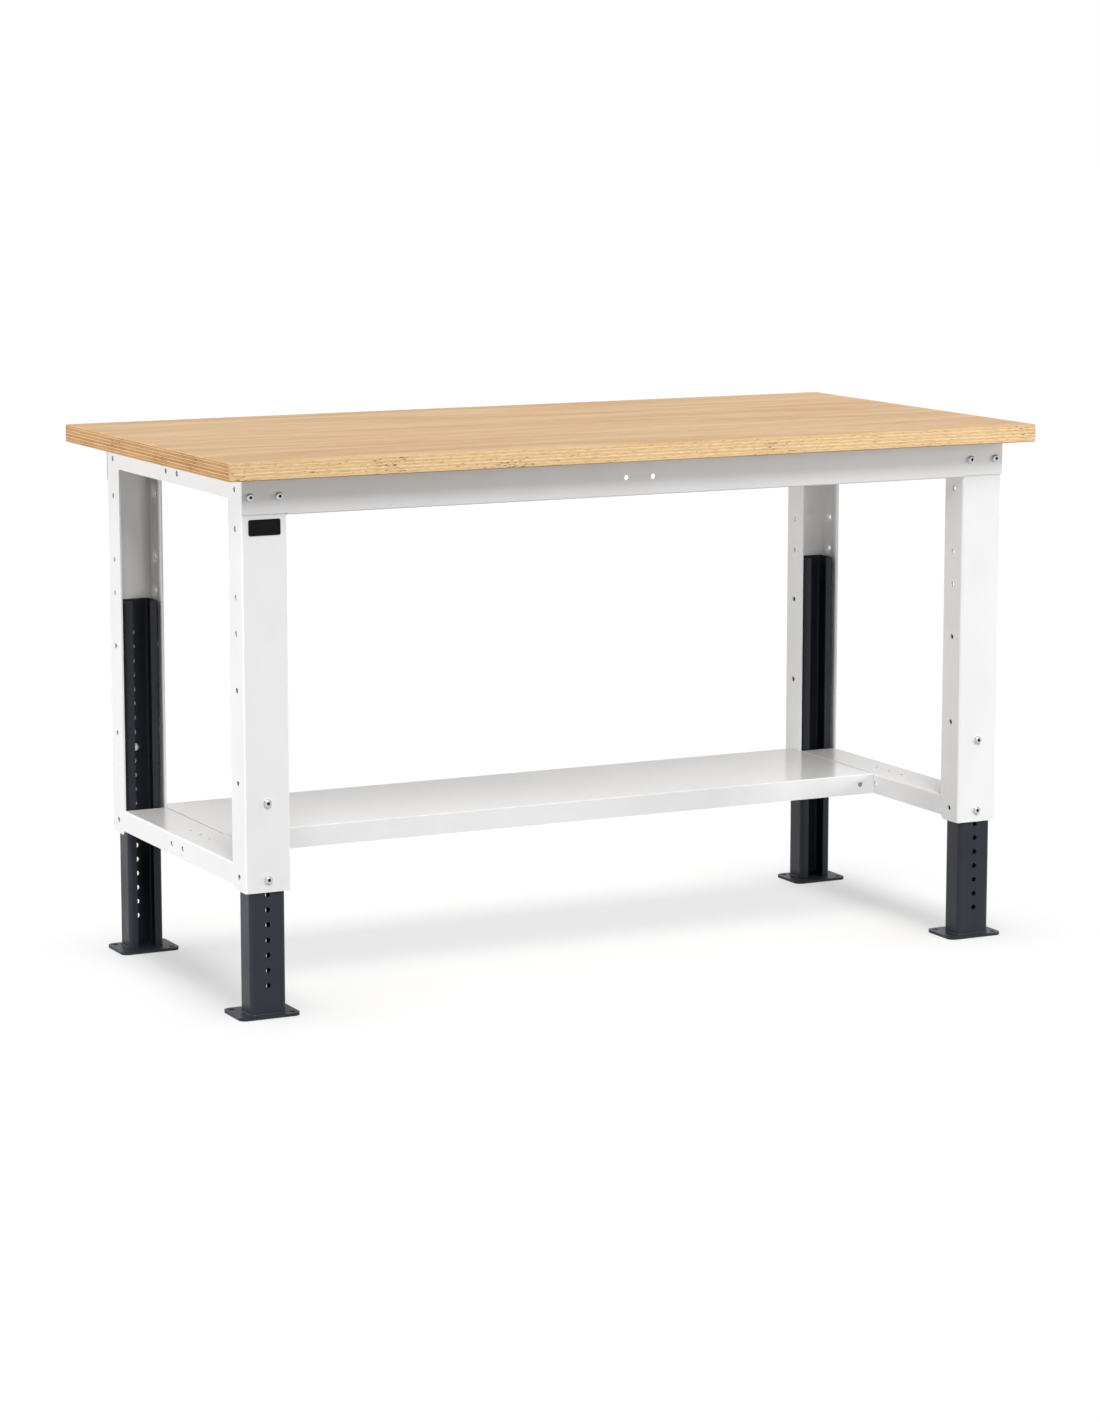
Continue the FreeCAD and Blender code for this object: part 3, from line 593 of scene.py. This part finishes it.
def makeWeld(end, side):
    # a fillet bead round the outside of the leg, with the ripples of a hand-held torch
    low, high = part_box(f"leg_{end}_{side}")
    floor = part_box(f"base_plate_{end}_{side}")[1][2]
    path = weldPath(end, low, high)
    mesh = bmesh.new()
    rings = []
    for i, point in enumerate(path):
        along = (path[min(i + 1, len(path) - 1)] - path[max(i - 1, 0)]).normalized()
        across = Vector((0, 0, 1)).cross(along)
        travel = i * weld["step"] / weld["rippleLength"]
        ripple = weld["ripple"] * (2 * abs(travel % 1 - 0.5) - 0.5)
        wander = weld["wander"] * math.sin(travel * weld["wanderPace"])
        fromEnd = min(i, len(path) - 1 - i)
        taper = min(1.0, weld["startSize"] + fromEnd / weld["startSteps"])
        radius = weld["radius"] * (1 + ripple + wander) * taper
        ring = []
        for turn in fullTurn(weld["sections"]):
            rise = Vector((0, 0, floor + radius * math.sin(turn)))
            spot = point + across * (radius * math.cos(turn)) + rise
            spot.z = max(spot.z, floor - weld["sink"])
            ring.append(mesh.verts.new(spot))
        rings.append(ring)
    bridge(mesh, rings)
    mesh.faces.new(list(reversed(rings[0])))
    mesh.faces.new(rings[-1])
    newPiece(f"weld_{end}_{side}", mesh, "dark_coat", f"{end}_{side}_leg", weld["sharpAngle"])


for end, side in corners:
    makeWeld(end, side)
print("weld beads laid at the feet")


def makeBlankPlate():
    # a plate with a raised rim round a sunk field, left blank
    low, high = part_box("label_plate")
    front, back = low[1], high[1]
    thick = back - front
    rim, chamfer = blankPlate["rim"], blankPlate["chamfer"]
    steps = blankPlate["cornerSteps"]
    mesh = bmesh.new()
    rings = []
    for inset, y in (
            (0, back),
            (0, front + blankPlate["chamferDepth"] * thick),
            (chamfer, front),
            (rim, front),
            (rim + chamfer, front + blankPlate["sink"] * thick)):
        r = max(blankPlate["corner"] - inset, blankPlate["leastCorner"])
        ring = []
        for x, z, start in ((1, 1, 0), (-1, 1, 90), (-1, -1, 180), (1, -1, 270)):
            middleX = high[0] - inset - r if x > 0 else low[0] + inset + r
            middleZ = high[2] - inset - r if z > 0 else low[2] + inset + r
            for i in range(steps + 1):
                turn = math.radians(start + i * 90 / steps)
                point = (middleX + r * math.cos(turn), y, middleZ + r * math.sin(turn))
                ring.append(mesh.verts.new(point))
        rings.append(ring)
    bridge(mesh, rings)
    mesh.faces.new(list(reversed(rings[0])))
    mesh.faces.new(rings[-1])
    plate = newPiece("blankPlate", mesh, "blank_plate", "frame", blankPlate["sharpAngle"])
    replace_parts(plate, "label_plate")


makeBlankPlate()
print("blank plate made")

studio = {
    "floor": "#BCBCBC",
    "floorBounce": "#6E6E6E",  # what the floor sends back to the bench
    "floorLift": 0.47,  # for the camera and mirrors: the lit floor is white and keeps the shadow
    "floorReach": 40.0,  # metres
    "floorStart": 1.0,  # over the feet, which press it down to their own height
    "floorGap": 0.0005,  # clear of the undersides of the base plates
    "ambient": 0.17,
    "aim": (0.0, -0.05, 0.6),
    "ends": ("upright", "lower_rail", "leg", "base_plate"),  # nodes that shade the floor at both ends
    "suns": {  # what it lights, what throws shadows in it, power, the way towards it and its spread
        "frontSun": ("bench", None, 2.4, (-0.12, -0.63, 0.767), 30),
        "topSun": ("bench", None, 0.53, (0.0, 0.0, 1.0), 60),
        "floorSun": ("floor", "low", 1.2, (-0.04, -0.04, 1.0), 42),
        "endSun": ("floor", "ends", 1.7, (-0.04, -0.04, 1.0), 32),
    },
    "boxes": {  # power, place and size
        "leftBox": (158, (-5.2, -0.1, 0.75), 1.4),
        "rightBox": (52, (3.4, -1.9, 1.1), 1.2),
        "lowBox": (13, (0.0, -2.8, 0.35), 1.0),
        "rearBox": (125, (0.5, 4.8, 0.28), 0.5),
        "endBox": (85, (5.4, 0.7, 0.28), 0.5),
    },
}


def makeFloor():
    mesh = bmesh.new()
    bmesh.ops.create_grid(mesh, x_segments=4, y_segments=4, size=studio["floorReach"])
    data = bpy.data.meshes.new("studioFloor")
    mesh.to_mesh(data)
    mesh.free()
    floor = bpy.data.objects.new("studioFloor", data)
    bpy.context.collection.objects.link(floor)
    floor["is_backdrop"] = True
    floor.location.z = studio["floorStart"]
    for end, side in corners:  # the lowest foot stands on the floor, however the legs are set
        stop = floor.constraints.new("FLOOR")
        stop.target = frame["nodes"][f"base_plate_{end}_{side}"]
        stop.floor_location = "FLOOR_NEGATIVE_Z"
        stop.offset = -studio["floorGap"]
    return floor


def shadeStudio(floor):
    # the floor and the room are white to the camera and in mirrors, and dimmer as light
    material = bpy.data.materials.new("paleStudioFloor")
    world = bpy.data.worlds.new("paleStudio")
    floor.data.materials.append(material)
    bpy.context.scene.world = world
    for holder in (material, world):
        holder.use_nodes = True
        tree = holder.node_tree
        tree.nodes.clear()
        path = addNode(tree, "ShaderNodeLightPath")
        seen = path.outputs["Is Camera Ray"]
        for ray in ("Is Glossy Ray", "Is Transmission Ray"):
            seen = addNode(tree, "ShaderNodeMath", {"operation": "MAXIMUM"}, {
                0: seen, 1: path.outputs[ray]}).outputs[0]
        if holder == world:
            strength = addNode(tree, "ShaderNodeMapRange", inputs={
                "Value": seen, "To Min": studio["ambient"], "To Max": 1.0})
            sky = addNode(tree, "ShaderNodeBackground", inputs={
                "Color": (1, 1, 1, 1), "Strength": strength.outputs[0]})
            addNode(tree, "ShaderNodeOutputWorld", inputs={"Surface": sky.outputs[0]})
        else:
            lift = addNode(tree, "ShaderNodeMath", {"operation": "MULTIPLY"}, {
                0: seen, 1: studio["floorLift"]})
            tone = addNode(tree, "ShaderNodeMix", colourMix, {
                0: seen, 6: toLinear(studio["floorBounce"]), 7: toLinear(studio["floor"])})
            matt = addNode(tree, "ShaderNodeBsdfDiffuse", inputs={"Color": tone.outputs[2]})
            glow = addNode(tree, "ShaderNodeEmission", inputs={"Strength": lift.outputs[0]})
            both = addNode(tree, "ShaderNodeAddShader", inputs={0: matt.outputs[0], 1: glow.outputs[0]})
            addNode(tree, "ShaderNodeOutputMaterial", inputs={"Surface": both.outputs[0]})


def addLamp(name, kind, power, towards):
    lamp = bpy.data.lights.new(name, kind)
    lamp.energy = power
    holder = bpy.data.objects.new(name, lamp)
    holder.rotation_euler = towards.to_track_quat("Z", "Y").to_euler()
    bpy.context.collection.objects.link(holder)
    return lamp, holder


def lightStudio(floor):
    members = {  # low is all that stands under the worktop
        "bench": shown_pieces(),
        "floor": [floor],
        "low": [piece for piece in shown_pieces() if piece != frame["nodes"]["worktop"]],
        "ends": [node for name, node in frame["nodes"].items() if name.startswith(studio["ends"])],
    }
    groups = {None: None}
    for name, pieces in members.items():
        groups[name] = bpy.data.collections.new(name + "Group")
        for piece in pieces:
            groups[name].objects.link(piece)

    for name, (target, shaders, power, towards, spread) in studio["suns"].items():
        lamp, holder = addLamp(name, "SUN", power, Vector(towards))
        lamp.angle = math.radians(spread)
        holder.light_linking.receiver_collection = groups[target]
        holder.light_linking.blocker_collection = groups[shaders]
    for name, (power, place, size) in studio["boxes"].items():
        lamp, holder = addLamp(name, "AREA", power, Vector(place) - Vector(studio["aim"]))
        lamp.shape = "DISK"
        lamp.size = size
        holder.location = place
        holder.light_linking.receiver_collection = groups["bench"]
        holder.visible_camera = False
        holder.visible_glossy = False  # the white room is what the finishes mirror


studioFloor = makeFloor()
shadeStudio(studioFloor)
lightStudio(studioFloor)
print("studio lit")

photoCamera = {
    "place": (-3.0828, -6.1507, 1.5354),
    "yaw": 26.61,
    "pitch": -9.33,
    "lens": 101.0,
    "sensorHeight": 36,
}


def makeCamera():
    data = bpy.data.cameras.new("photoCamera")
    data.sensor_fit = "VERTICAL"
    data.sensor_height = photoCamera["sensorHeight"]
    data.lens = photoCamera["lens"]
    camera = bpy.data.objects.new("photoCamera", data)
    yaw = math.radians(photoCamera["yaw"])
    pitch = math.radians(photoCamera["pitch"])
    level = math.cos(pitch)
    forward = Vector((math.sin(yaw) * level, math.cos(yaw) * level, math.sin(pitch)))
    camera.location = photoCamera["place"]
    camera.rotation_euler = forward.to_track_quat("-Z", "Y").to_euler()
    bpy.context.collection.objects.link(camera)
    bpy.context.scene.camera = camera


makeCamera()
bpy.context.scene.view_settings.view_transform = "Standard"
